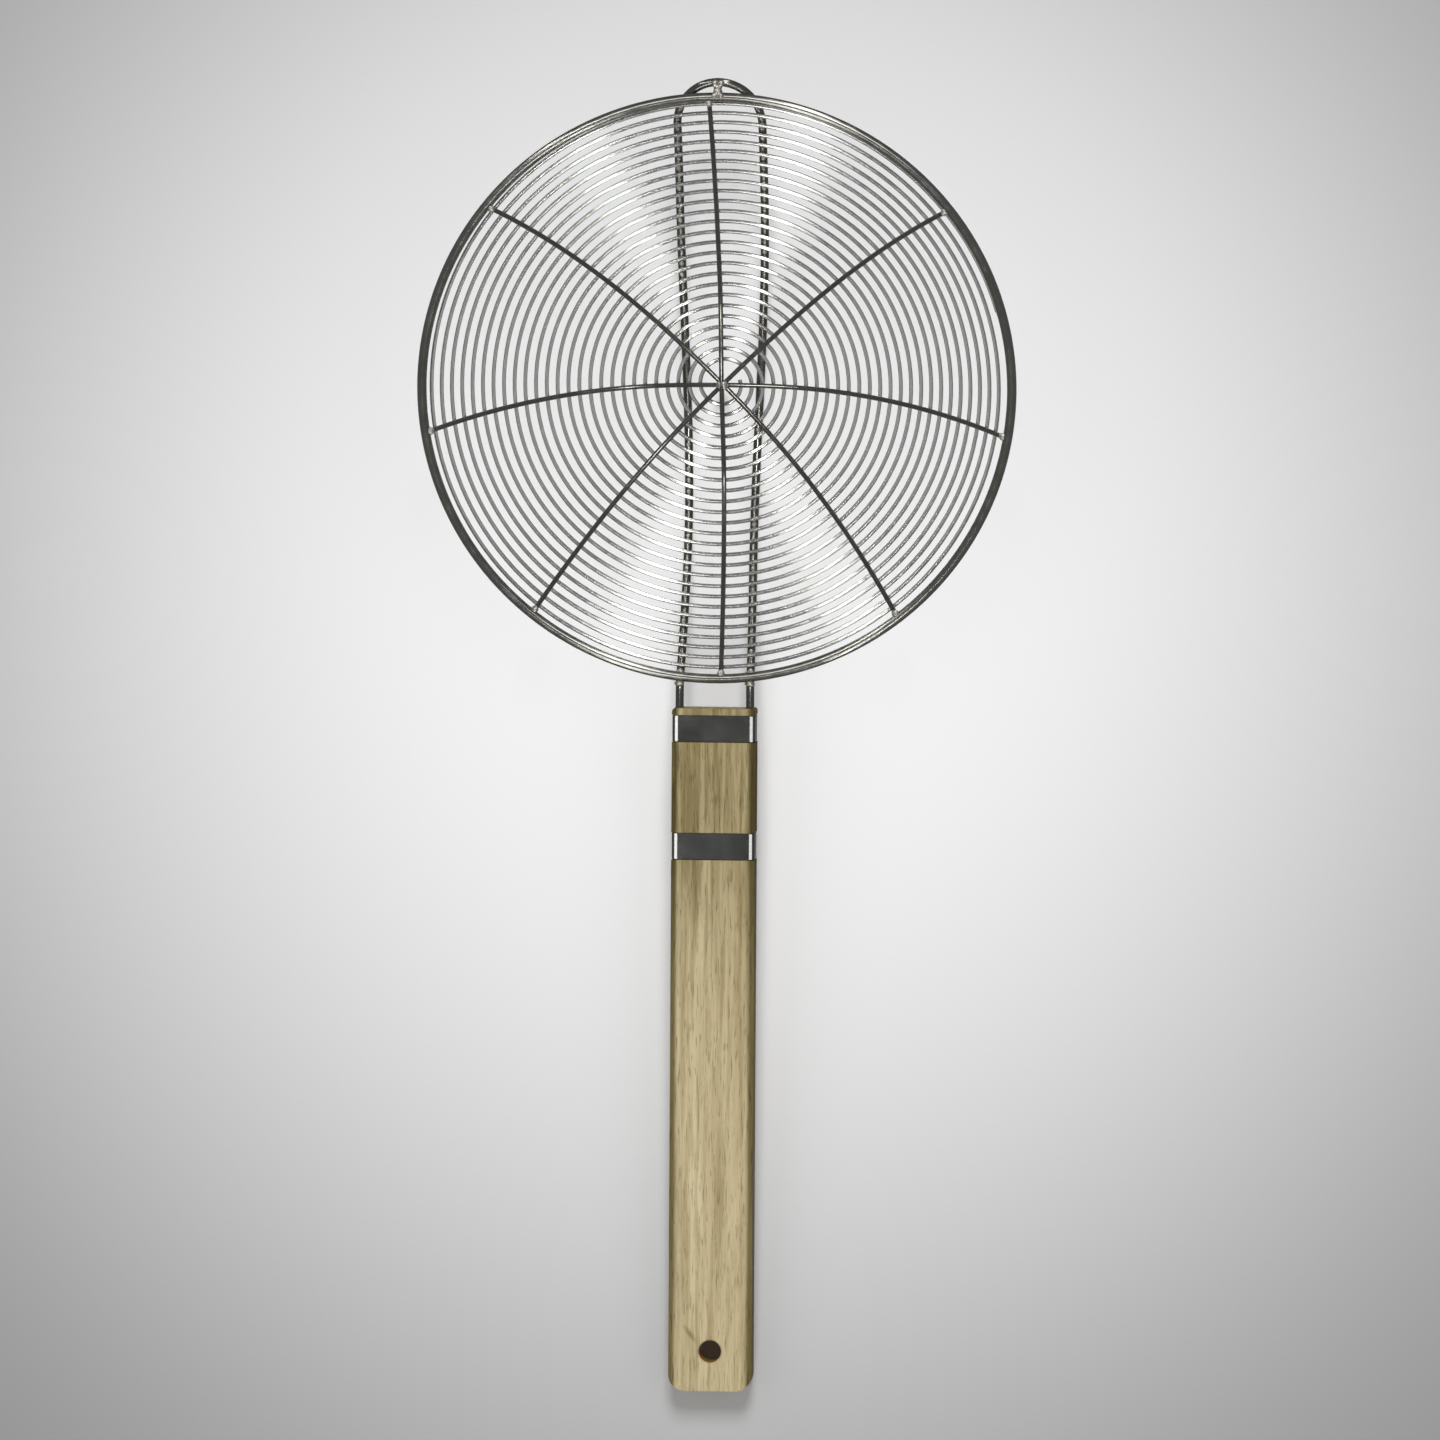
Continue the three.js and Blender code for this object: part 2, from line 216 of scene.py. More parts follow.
tree.links.new(colour.outputs[MIX_RESULT], shader.inputs["Base Color"])
tree.links.new(rough.outputs["Result"], shader.inputs["Roughness"])
tree.links.new(bump.outputs["Normal"], shader.inputs["Normal"])
shader.inputs["Metallic"].default_value = 1
print("finish:", weld_metal.name)

# %% [markdown]
# # Polished steel strip
# The bands are cut from rolled stainless strip. Rolling and polishing leave very fine lines along the strip, which
# here means across the handle. Real lines are about 0.1 mm apart, too fine to show, so they are drawn at 0.35 mm.
# A few duller smears come from hands.

# %% Polished steel strip
ROLL_LINE_MM, ROLL_LINE_STRETCH, SMEAR_MM = 0.35, 0.02, 9
strip_steel, tree, shader, place = start_finish("polished_steel_strip")
along = add(tree, "ShaderNodeMapping", {"Scale": (ROLL_LINE_STRETCH, 1, ROLL_LINE_STRETCH)}, {"Vector": place})
line = {"Scale": scale_for(ROLL_LINE_MM), "Detail": 2}
lines = add(tree, "ShaderNodeTexNoise", line, {"Vector": along.outputs["Vector"]})
smear = add(tree, "ShaderNodeTexNoise", {"Scale": scale_for(SMEAR_MM), "Detail": 2}, {"Vector": place})
tint = {"data_type": "RGBA", MIX_A: linear("#636360"), MIX_B: linear("#838380")}
colour = add(tree, "ShaderNodeMix", tint, {"Factor": lines.outputs["Fac"]})
dulled = {"From Min": 0.35, "From Max": 0.75, "To Min": 0.14, "To Max": 0.22}
rough = add(tree, "ShaderNodeMapRange", dulled, {"Value": smear.outputs["Fac"]})
bump = add(tree, "ShaderNodeBump", {"Strength": 0.06, "Distance": 0.00005}, {"Height": lines.outputs["Fac"]})
tree.links.new(colour.outputs[MIX_RESULT], shader.inputs["Base Color"])
tree.links.new(rough.outputs["Result"], shader.inputs["Roughness"])
tree.links.new(bump.outputs["Normal"], shader.inputs["Normal"])
shader.inputs["Metallic"].default_value = 1
print("finish:", strip_steel.name)

# %% [markdown]
# # Oiled oak
# The handle is a pale oak-like wood, sawn so that the grain runs straight along it, sanded and lightly oiled. The
# eye sees three sizes of pattern: broad pale and dark bands, the growth rings as long thin streaks, and the open
# pores as short dark dashes that are also tiny furrows. Each is the same noise, squeezed along the handle by a
# different amount. Pores are about 0.3 mm wide, and are drawn at 0.6 mm so that they show. Toward the bands the wood
# is greyer from steam and washing, its rounded edges carry painted shade, darker where they turn away from the
# light, and near the hole a slanted dark fleck marks a small knot.

# %% Oiled oak: grain
BAND_TONE_MM, RING_MM, PORE_MM = 11, 2.4, 0.6
TONE_STRETCH, RING_STRETCH, PORE_STRETCH, GRAIN_WANDER = 1 / 16, 1 / 24, 1 / 14, 0.5
oak, tree, shader, place = start_finish("oiled_oak")
tones = []
patterns = ((BAND_TONE_MM, TONE_STRETCH, 3), (RING_MM, RING_STRETCH, 4), (PORE_MM, PORE_STRETCH, 2))
for width, stretch, detail in patterns:
    squeezed = add(tree, "ShaderNodeMapping", {"Scale": (1, stretch, 1)}, {"Vector": place})
    setting = {"Scale": scale_for(width), "Detail": detail, "Roughness": 0.6, "Distortion": GRAIN_WANDER}
    tones.append(add(tree, "ShaderNodeTexNoise", setting, {"Vector": squeezed.outputs["Vector"]}).outputs["Fac"])
broad, rings, pores = tones
broad_share = add(tree, "ShaderNodeMapRange", {"From Min": 0.3, "From Max": 0.7}, {"Value": broad})
ring_share = add(tree, "ShaderNodeMapRange", {"From Min": 0.4, "From Max": 0.68, "To Max": 0.9}, {"Value": rings})
pore_share = add(tree, "ShaderNodeMapRange", {"From Min": 0.56, "From Max": 0.7, "To Max": 0.75}, {"Value": pores})
pale = {"data_type": "RGBA", MIX_A: linear("#d8c8a2"), MIX_B: linear("#c0b088")}
pale = add(tree, "ShaderNodeMix", pale, {"Factor": broad_share.outputs["Result"]})
ringed = {"data_type": "RGBA", MIX_B: linear("#a4946c")}
ringed = add(tree, "ShaderNodeMix", ringed, {"Factor": ring_share.outputs["Result"], MIX_A: pale.outputs[MIX_RESULT]})
pored = {"data_type": "RGBA", MIX_B: linear("#80704a")}
pored = add(tree, "ShaderNodeMix", pored, {"Factor": pore_share.outputs["Result"], MIX_A: ringed.outputs[MIX_RESULT]})
print("grain widths in mm:", BAND_TONE_MM, RING_MM, PORE_MM)

# %% Oiled oak: knot
handle_top = -RIM_LENGTH / 2 - NECK_LENGTH
KNOT_FROM_AXIS, KNOT_FROM_END, KNOT_LENGTH, KNOT_WIDTH, KNOT_SLANT = -8, 23, 11, 3, math.radians(35)
knot_place = (KNOT_FROM_AXIS * MM, (handle_top - HANDLE_LENGTH + KNOT_FROM_END) * MM, 0)
knot = {"vector_type": "TEXTURE", "Location": knot_place, "Rotation": (0, 0, KNOT_SLANT)}
knot["Scale"] = (KNOT_WIDTH / 2 * MM, KNOT_LENGTH / 2 * MM, HANDLE_THICKNESS * MM)
knot = add(tree, "ShaderNodeMapping", knot, {"Vector": place})
knot = add(tree, "ShaderNodeTexGradient", {"gradient_type": "SPHERICAL"}, {"Vector": knot.outputs["Vector"]})
knot_share = add(tree, "ShaderNodeMapRange", {"To Max": 0.85, "From Max": 0.7}, {"Value": knot.outputs["Fac"]})
knotted = {"data_type": "RGBA", MIX_B: linear("#86754c")}
links = {"Factor": knot_share.outputs["Result"], MIX_A: pored.outputs[MIX_RESULT]}
knotted = add(tree, "ShaderNodeMix", knotted, links)
print(f"knot of {KNOT_LENGTH} mm, {KNOT_FROM_END} mm from the handle's end")

# %% Oiled oak: greyed head and painted shade on the edges
GREY_BELOW_BAND, GREY_ABOVE_BAND, EDGE_SHADE_FROM, EDGE_SHADE_TO = 70, 10, 3.2, 1.2
split = add(tree, "ShaderNodeSeparateXYZ", {}, {"Vector": place})
lower_band_top = handle_top - LOWER_BAND_INSET
grey_from, grey_to = [(lower_band_top + shift) * MM for shift in (-GREY_BELOW_BAND, GREY_ABOVE_BAND)]
grey = add(tree, "ShaderNodeMapRange", {"From Min": grey_from, "From Max": grey_to}, {"Value": split.outputs["Y"]})
streaked = {"From Min": 0.38, "From Max": 0.66, "To Min": 0.65, "To Max": 1.35}
streaked = add(tree, "ShaderNodeMapRange", streaked, {"Value": rings})
grey = {0: grey.outputs["Result"], 1: streaked.outputs["Result"]}
grey = add(tree, "ShaderNodeMath", {"operation": "MULTIPLY", "use_clamp": True}, grey)
greyed = {"data_type": "RGBA", "blend_type": "MULTIPLY", MIX_B: linear("#c4c1af")}
links = {"Factor": grey.outputs["Value"], MIX_A: knotted.outputs[MIX_RESULT]}
greyed = add(tree, "ShaderNodeMix", greyed, links)
# Painted shade: toward the long sides the colour is multiplied by a dark olive, for the shade on the rounded edges.
from_axis = add(tree, "ShaderNodeMath", {"operation": "ABSOLUTE"}, {0: split.outputs["X"]})
edge_shade_from, edge_shade_to = [(HANDLE_WIDTH / 2 - inset) * MM for inset in (EDGE_SHADE_FROM, EDGE_SHADE_TO)]
edge = {"interpolation_type": "SMOOTHSTEP", "From Min": edge_shade_from, "From Max": edge_shade_to, "To Max": 0.9}
edge = add(tree, "ShaderNodeMapRange", edge, {"Value": from_axis.outputs["Value"]})
edge_shaded = {"data_type": "RGBA", "blend_type": "MULTIPLY", MIX_B: linear("#827e58")}
links = {"Factor": edge.outputs["Result"], MIX_A: greyed.outputs[MIX_RESULT]}
edge_shaded = add(tree, "ShaderNodeMix", edge_shaded, links)
tree.links.new(edge_shaded.outputs[MIX_RESULT], shader.inputs["Base Color"])
print(f"edges darken over {EDGE_SHADE_FROM - EDGE_SHADE_TO:.1f} mm")

# %% Oiled oak: surface
rough = {"From Min": 0.3, "From Max": 0.7, "To Min": 0.48, "To Max": 0.66}
rough = add(tree, "ShaderNodeMapRange", rough, {"Value": rings})
tree.links.new(rough.outputs["Result"], shader.inputs["Roughness"])
relief = add(tree, "ShaderNodeBump", {"Strength": 0.25, "Distance": 0.0001}, {"Height": rings})
relief = {"Height": pore_share.outputs["Result"], "Normal": relief.outputs["Normal"]}
relief = add(tree, "ShaderNodeBump", {"Strength": 0.5, "Distance": 0.00015, "invert": True}, relief)
tree.links.new(relief.outputs["Normal"], shader.inputs["Normal"])
shader.inputs["IOR"].default_value = 1.5
print("finish:", oak.name)

# %% [markdown]
# # Bored oak
# A drill cuts across the fibres, so the wall of the hanging hole is rough open grain. Its colour is much darker and
# browner than the face: partly end grain that drinks more oil, partly painted shade for the inside of the hole. It is
# the same wood, so it is a plain, darker and rougher relative of the oak.

# %% Bored oak
BORE_GRAIN_MM = 1.2
bored_oak_with_painted_shade, tree, shader, place = start_finish("bored_oak_with_painted_shade")
fibres = add(tree, "ShaderNodeTexNoise", {"Scale": scale_for(BORE_GRAIN_MM), "Detail": 4}, {"Vector": place})
# Painted shade: these darker wall colours partly stand in for the shade inside the hole.
tint = {"data_type": "RGBA", MIX_A: linear("#ab813c"), MIX_B: linear("#765924")}
colour = add(tree, "ShaderNodeMix", tint, {"Factor": fibres.outputs["Fac"]})
bump = add(tree, "ShaderNodeBump", {"Strength": 0.4, "Distance": 0.0002}, {"Height": fibres.outputs["Fac"]})
tree.links.new(colour.outputs[MIX_RESULT], shader.inputs["Base Color"])
tree.links.new(bump.outputs["Normal"], shader.inputs["Normal"])
shader.inputs["Roughness"].default_value = 0.8
shader.inputs["IOR"].default_value = 1.5
print("finish:", bored_oak_with_painted_shade.name)

# %% [markdown]
# # Putting a piece down
# Every piece is made in the bowl's frame, so the same few lines finish them all: give it its material, lay it down
# with the resting matrix, let it ride on the one body and hide the imported node it stands for. The gap between its
# box and that node's box is printed, because a piece that has drifted shows there at once.


# %% Putting a piece down
def settle(piece, slot, *nodes, finishes=(rod_steel_painted_darker,)):
    for finish in finishes:
        piece.data.materials.append(finish)
    piece.data.transform(resting)
    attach(piece, "root")
    bpy.context.view_layer.update()
    shown = piece.evaluated_get(bpy.context.evaluated_depsgraph_get()).to_mesh()
    corners = [vertex.co.copy() for vertex in shown.vertices]
    low = Vector([min(c[i] for c in corners) for i in range(3)])
    high = Vector([max(c[i] for c in corners) for i in range(3)])
    note = "stands for no node"
    if nodes:
        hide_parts(*nodes)
        node_low, node_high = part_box(nodes[0])
        drift = max(map(abs, [*(low - node_low), *(high - node_high)])) / MM
        note = f"box differs from its node by {drift:.2f} mm"
    print(f"{piece.name}: {len(corners)} points, {note}")
    return piece


def link_piece(name, data):
    piece = bpy.data.objects.new(name, data)
    bpy.context.scene.collection.objects.link(piece)
    return piece


# %% [markdown]
# # Drawing a wire
# A wire could be a chain of cylinders or a swept mesh. A curve with a round bevel is simpler: the points are the
# centre line, the bevel is the wire's radius, and Blender keeps the section square to the path. A poly spline goes
# exactly through its points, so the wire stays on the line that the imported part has.

# %% Drawing a wire
WIRE_SIDES_SETTING = 5


def draw_wire(name, points, radius, closed=False):
    line = bpy.data.curves.new(name, "CURVE")
    line.dimensions = "3D"
    line.bevel_depth = radius * MM
    line.bevel_resolution = WIRE_SIDES_SETTING
    line.use_fill_caps = not closed
    spline = line.splines.new("POLY")
    spline.points.add(len(points) - 1)
    spline.points.foreach_set("co", [c for point in points for c in (*(point * MM), 1)])
    spline.use_cyclic_u = closed
    return link_piece(name, line)


# %% [markdown]
# # Rim
# The rim is one thick wire bent to a ring and butt-welded. It is slightly shorter along the handle than it is wide.

# %% Rim
RIM_STEPS = 288


def rim_point(angle):
    return Vector((rim_reach * math.cos(angle), rim_reach * oval * math.sin(angle), 0))


ring = [rim_point(2 * math.pi * step / RIM_STEPS) for step in range(RIM_STEPS)]
rim = draw_wire("rim_wire_round", ring, rim_radius, closed=True)
settle(rim, "wire_steel", "rim_wire", finishes=(rim_steel_painted_darker,))

# %% [markdown]
# # Spiral
# The grille is a single wire of nearly ten metres. Its turns lie equally far apart along the dish, from the hub to
# the inside of the rim, where its end is welded. The wide outer turns need more points than the narrow inner ones,
# and a power of the distance shares them out.

# %% Spiral
SPIRAL_STEPS, SPIRAL_STEP_POWER = 2860, 1.35
rim_arc = bowl_radius * math.asin(rim_reach / (bowl_radius - rim_lift))
rim_contact = rim_radius + spiral_radius + WELD_GAP
start_arc = bowl_radius * math.asin(SPIRAL_START_RADIUS / bowl_radius)
end_arc = rim_arc - math.sqrt(rim_contact**2 - rim_lift**2)
pitch = (end_arc - start_arc) / SPIRAL_TURNS


def mix(a, b, share):
    return a + (b - a) * share


def spiral_point(t):
    powers = [arc**SPIRAL_STEP_POWER for arc in (start_arc, end_arc)]
    arc = mix(*powers, t) ** (1 / SPIRAL_STEP_POWER)
    turn = SPIRAL_END_ANGLE + 2 * math.pi * (end_arc - arc) / pitch
    reach = bowl_radius * math.sin(arc / bowl_radius)
    return on_bowl(reach * math.cos(turn), reach * math.sin(turn) * oval, 0)


winding = [spiral_point(step / SPIRAL_STEPS) for step in range(SPIRAL_STEPS + 1)]
spiral = draw_wire("spiral_wire_round", winding, spiral_radius)
settle(spiral, "wire_steel", "spiral_wire", finishes=(wire_steel,))
length = sum((b - a).length for a, b in zip(winding, winding[1:]))
print(f"the spiral is {length * MM:.2f} m long, with {pitch:.2f} mm from turn to turn")

# %% [markdown]
# # Spokes
# Four wires cross at the hub, one over the other, and end on the inside of the rim. From the hub each arm runs
# straight and then sweeps toward the handle, so a pair looks like a shallow arch.

# %% Spokes
SPOKE_STEPS = 120
SPOKES = {"left_diagonal_spoke": 135, "right_diagonal_spoke": 45, "cross_spoke": 0, "upright_spoke": 91.5}
arm_end = rim_reach - rim_radius - WELD_GAP - CHORD_ALLOWANCE


def blend(value, low, high):
    """0 at low, 1 at high, and a smooth change between them."""
    t = min(max((value - low) / (high - low), 0), 1)
    return t * t * (3 - 2 * t)


def arm_reach(angle):
    sweep = SPOKE_SWEEP / oval
    return sweep * math.sin(angle) + math.sqrt(arm_end**2 - (sweep * math.cos(angle)) ** 2)


def spoke_point(angle, layer, t):
    out = 2 * t - 1
    arm_angle = angle if out < 0 else angle + math.pi
    reach = abs(out) * arm_reach(arm_angle)
    climb = layer * (SPOKE_WIRE + WELD_GAP) * (1 - blend(reach, 0, HUB_CLIMB_RADIUS))
    y = reach * math.sin(arm_angle) * oval - SPOKE_SWEEP * abs(out) ** SPOKE_SWEEP_POWER
    return on_bowl(reach * math.cos(arm_angle), y, spoke_lift + climb)


spoke_lines, spokes = [], []
for layer, (name, degrees) in enumerate(SPOKES.items()):
    points = [spoke_point(math.radians(degrees), layer, step / SPOKE_STEPS) for step in range(SPOKE_STEPS + 1)]
    spoke_lines.append(points)
    spokes.append(settle(draw_wire(name + "_round", points, spoke_radius), "wire_steel", name))

# %% [markdown]
# # Frame
# One thick wire is bent like a hairpin. Its bend stands out past the rim at the tip and serves as a rest on the edge
# of a pot. Its legs run under the spiral, pass under the rim, level out at the neck and lie in the handle's sides.

# %% Frame
BEND_STEPS, UNDER_STEPS, NECK_STEPS, LEVEL_STEPS = 40, 140, 14, 24
bend_y = RIM_LENGTH / 2 + TIP_REACH - frame_radius - LEG_HALF_AT_TIP
pass_y = -rim_reach * oval
leg_end_y = handle_top - LOWER_BAND_INSET - BAND_WIDTH - LEG_PAST_BAND
leg_half_at_handle = HANDLE_WIDTH / 2 - BAND_THICKNESS - SEAT_GAP - frame_radius


def leg_half(y):
    narrow = mix(leg_half_at_handle, LEG_HALF_AT_WAIST, blend(y, handle_top, -WAIST_BEFORE_HUB))
    return mix(narrow, LEG_HALF_AT_TIP, blend(y, -WAIST_BEFORE_HUB, FLARE_PAST_HUB))


pass_slope = math.asin(rim_reach / (bowl_radius - frame_lift))
neck_run = NECK_BEND_RADIUS * math.sin(pass_slope)
leg_height = on_bowl(leg_half(pass_y), pass_y, frame_lift).z + NECK_BEND_RADIUS * (1 - math.cos(pass_slope))


def under_bowl(side, t):
    y = mix(bend_y, pass_y, t)
    return on_bowl(side * leg_half(y), y, frame_lift)


def neck_point(side, t):
    angle = pass_slope * (1 - t)
    y = pass_y - neck_run + NECK_BEND_RADIUS * math.sin(angle)
    return Vector((side * leg_half(y), y, leg_height - NECK_BEND_RADIUS * (1 - math.cos(angle))))


def level_point(side, t):
    y = mix(pass_y - neck_run, leg_end_y, t)
    return Vector((side * leg_half(y), y, leg_height))


def tip_point(t):
    y = bend_y + LEG_HALF_AT_TIP * math.sin(math.pi * t)
    return on_bowl(-LEG_HALF_AT_TIP * math.cos(math.pi * t), y, frame_lift)


legs = {}
for side in (-1, 1):
    legs[side] = [under_bowl(side, step / UNDER_STEPS) for step in range(UNDER_STEPS)]
    legs[side] += [neck_point(side, step / NECK_STEPS) for step in range(NECK_STEPS)]
    legs[side] += [level_point(side, step / LEVEL_STEPS) for step in range(LEVEL_STEPS + 1)]
tip_line = [tip_point(step / BEND_STEPS) for step in range(BEND_STEPS)]
hairpin = legs[-1][:0:-1] + tip_line + legs[1]
frame_wire = settle(draw_wire("frame_wire_round", hairpin, frame_radius), "wire_steel", "frame_wire")

# %% [markdown]
# # Spot welds
# A welding press joins the spiral to every spoke and leg it crosses, which squeezes out a little nugget of steel at
# each crossing. The crossings follow from the winding: seen from above, a point is on the wire when a whole number
# of turns lies between it and the spiral's end. Walking along a spoke, the fraction of a turn passes zero there.
# Each nugget is a small lump, pushed out of round by noise, and all of them are one mesh.

# %% Finding the crossings
NUGGET_REACH = 0.75


def turns_from_end(point):
    arc = bowl_radius * math.asin(math.hypot(point.x, point.y / oval) / bowl_radius)
    angle = math.atan2(point.y / oval, point.x)
    return arc, (end_arc - arc) / pitch - (angle - SPIRAL_END_ANGLE) / (2 * math.pi)


def crossings(points, radius):
    """Where a wire meets the spiral: the place on each, where the two nearly touch."""
    found = []
    for a, b in zip(points, points[1:]):
        arc, turns_a = turns_from_end(a)
        turns_b = turns_from_end(b)[1]
        wave_a, wave_b = math.sin(2 * math.pi * turns_a), math.sin(2 * math.pi * turns_b)
        if wave_a * wave_b >= 0 or math.cos(2 * math.pi * turns_a) < 0 or not start_arc < arc < end_arc:
            continue
        here = a.lerp(b, wave_a / (wave_a - wave_b))
        there = on_bowl(here.x, here.y, 0)
        across = here - there
        across -= across.project(Vector((-there.y, there.x, 0)).normalized())
        up = outward(there)
        height = across.dot(up)
        if abs(height) - radius - spiral_radius < NUGGET_REACH:
            found.append((there, up if height > 0 else -up))
    return found


# %% Making the nuggets
NUGGET_WIDE, NUGGET_HIGH, NUGGET_FINENESS = 0.95, 0.7, 2
LUMP_SIZE_MM, LUMP_SHARE = 1.3, 0.22


def lump(mesh, centre, along, up, sizes, fineness):
    """Adds a rounded lump, with half its length, width and height in sizes."""
    along = (along - along.project(up)).normalized()
    axes = (along, up.cross(along), up)
    made = bmesh.ops.create_icosphere(mesh, subdivisions=fineness, radius=1)
    for vertex in made["verts"]:
        swell = 1 + LUMP_SHARE * noise.noise((centre + vertex.co * LUMP_SIZE_MM) / LUMP_SIZE_MM)
        offset = sum((axis * size * part for axis, size, part in zip(axes, sizes, vertex.co)), Vector())
        vertex.co = (centre + offset * swell) * MM


def finish_lumps(name, mesh):
    data = bpy.data.meshes.new(name)
    mesh.to_mesh(data)
    mesh.free()
    data.polygons.foreach_set("use_smooth", [True] * len(data.polygons))
    return settle(link_piece(name, data), "wire_steel", finishes=(weld_metal,))


nuggets = bmesh.new()
places = [place for points in spoke_lines for place in crossings(points, spoke_radius)]
places += [place for points in legs.values() for place in crossings(points[:UNDER_STEPS], frame_radius)]
for there, up in places:
    centre = there + up * (spiral_radius + WELD_GAP / 2)
    tangent = Vector((-there.y, there.x, 0))
    lump(nuggets, centre, tangent, up, (NUGGET_WIDE, NUGGET_WIDE, NUGGET_HIGH), NUGGET_FINENESS)
spot_welds = finish_lumps("spot_welds", nuggets)
print(f"{len(places)} spot welds")

# %% [markdown]
# # Beads
# The rim, the spoke ends, the frame and the hub are welded by hand with filler, which leaves beads that are larger
# and brighter than the nuggets. The one at the tip is a cross of two short beads from the rim to the frame's bend.

# %% Beads at the spokes, the hub and the spiral's end
# A bead's three sizes are half its length, width and height.
BEAD_FINENESS = 3
SPOKE_END_BEAD, SPOKE_END_PAST = (1.7, 1.5, 1.25), 0.5
HUB_CAP, HUB_CAP_DROP = (2.4, 2.1, 1.5), 0.6
HUB_CORE, HUB_CORE_DROP = (1.9, 1.9, 3.6), 4.2
SPIRAL_END_BEAD, SPIRAL_END_PAST = (2.6, 1.3, 1.2), 1.006
ACROSS, ALONG, UP = Vector((1, 0, 0)), Vector((0, 1, 0)), Vector((0, 0, 1))
beads = bmesh.new()
for points in spoke_lines:
    for end, before in ((points[0], points[2]), (points[-1], points[-3])):
        along = (end - before).normalized()
        lump(beads, end + along * SPOKE_END_PAST, along, UP, SPOKE_END_BEAD, BEAD_FINENESS)
hub_top = max(spoke_lines[-1], key=lambda point: -point.xy.length)
lump(beads, hub_top - UP * HUB_CAP_DROP, ACROSS, UP, HUB_CAP, BEAD_FINENESS)
lump(beads, hub_top - UP * HUB_CORE_DROP, ALONG, UP, HUB_CORE, BEAD_FINENESS)
spiral_end = winding[-1]
lump(beads, spiral_end * SPIRAL_END_PAST, spiral_end - winding[-2], UP, SPIRAL_END_BEAD, BEAD_FINENESS)
print(f"{2 * len(spoke_lines) + 3} beads in the bowl")

# %% Beads between the rim and the frame
NECK_BEAD, NECK_BEAD_DROP, NECK_BEAD_PLACES = (2.0, 1.3, 1.5), 1.7, ((-2.1, -0.5), (2.0, 0.9))
LEG_BEAD, LEG_BEAD_RISE = (2.2, 1.5, 1.1), 1.75
TIP_BEAD, TIP_BEAD_RISE, TIP_LEAN, TIP_SHIFTS = (1.7, 1.35, 1.4), 1.3, 3, (-2.7, -0.9, 0.9, 2.7)
for side in (-1, 1):
    crossing = under_bowl(side, 1)
    for shift, height in NECK_BEAD_PLACES:
        bead = Vector((crossing.x, crossing.y - shift, height - NECK_BEAD_DROP))
        lump(beads, bead, ACROSS, UP, NECK_BEAD, BEAD_FINENESS)
    this_side = [point for point in tip_line if point.x * side >= 0]
    leave = min(this_side, key=lambda p: abs(math.hypot(p.x, p.y / oval) - rim_reach))
    lump(beads, leave + UP * LEG_BEAD_RISE, ACROSS, UP, LEG_BEAD, BEAD_FINENESS)
tip_top, rim_top = tip_point(0.5), rim_point(math.pi / 2)
middle = (tip_top + rim_top) / 2 + UP * TIP_BEAD_RISE
for lean in (-TIP_LEAN, TIP_LEAN):
    along = Vector((lean, tip_top.y - rim_top.y, 0)).normalized()
    for shift in TIP_SHIFTS:
        lump(beads, middle + along * shift, along, UP, TIP_BEAD, BEAD_FINENESS)
finish_lumps("weld_beads", beads)

# %% [markdown]
# # Bands
# Each band is a thin steel strap round the handle, over the frame's legs, flush with the wood. A section is swept
# round the handle's rounded outline: the section is a thin bar with its corners eased, so its edges catch light.

# %% Outline of the handle's section
ARC_STEPS = 10


def handle_outline(inset):
    """Points and outward directions round the handle, in the plane across it."""
    radius = HANDLE_EDGE_RADIUS - inset
    half_x, half_z = HANDLE_WIDTH / 2 - inset - radius, HANDLE_THICKNESS / 2 - inset - radius
    loop = []
    for quarter, (sx, sz) in enumerate(((1, 1), (-1, 1), (-1, -1), (1, -1))):
        for step in range(ARC_STEPS + 1):
            angle = math.pi / 2 * (quarter + step / ARC_STEPS)
            out = Vector((math.cos(angle), 0, math.sin(angle)))
            loop.append((Vector((sx * half_x, 0, sz * half_z)) + out * radius, out))
    return loop


# %% Bands
EASE, EASE_SHARE, BAND_SHARP_ANGLE = 0.14, 0.3, math.radians(50)


def strap_section():
    """A thin bar with eased corners: distance along the handle, and height over the outside of the strap."""
    half, thick, eased = BAND_WIDTH / 2, BAND_THICKNESS, EASE * EASE_SHARE
    return [
        (-half, -thick), (-half, -EASE), (-half + eased, -eased), (-half + EASE, 0),
        (half - EASE, 0), (half - eased, -eased), (half, -EASE), (half, -thick),
    ]


def make_band(name, inset, node):
    middle = Vector((0, handle_top - inset - BAND_WIDTH / 2, leg_height))
    loop, section = handle_outline(0), strap_section()
    mesh = bmesh.new()
    rows = []
    for at, out in loop:
        rows.append([mesh.verts.new((middle + at + out * high + Vector((0, far, 0))) * MM) for far, high in section])
    for row, following in zip(rows, rows[1:] + rows[:1]):
        for i in range(len(section)):
            j = (i + 1) % len(section)
            mesh.faces.new((row[i], row[j], following[j], following[i]))
    bmesh.ops.recalc_face_normals(mesh, faces=mesh.faces)
    data = bpy.data.meshes.new(name)
    mesh.to_mesh(data)
    mesh.free()
    data.polygons.foreach_set("use_smooth", [True] * len(data.polygons))
    data.set_sharp_from_angle(angle=BAND_SHARP_ANGLE)
    piece = link_piece(name, data)
    piece.modifiers.new("even_light", "WEIGHTED_NORMAL").keep_sharp = True
    return settle(piece, "band_steel", node, finishes=(strip_steel,))


bands = [
    make_band("upper_band_strap", UPPER_BAND_INSET, "upper_band"),
    make_band("lower_band_strap", LOWER_BAND_INSET, "lower_band"),
]

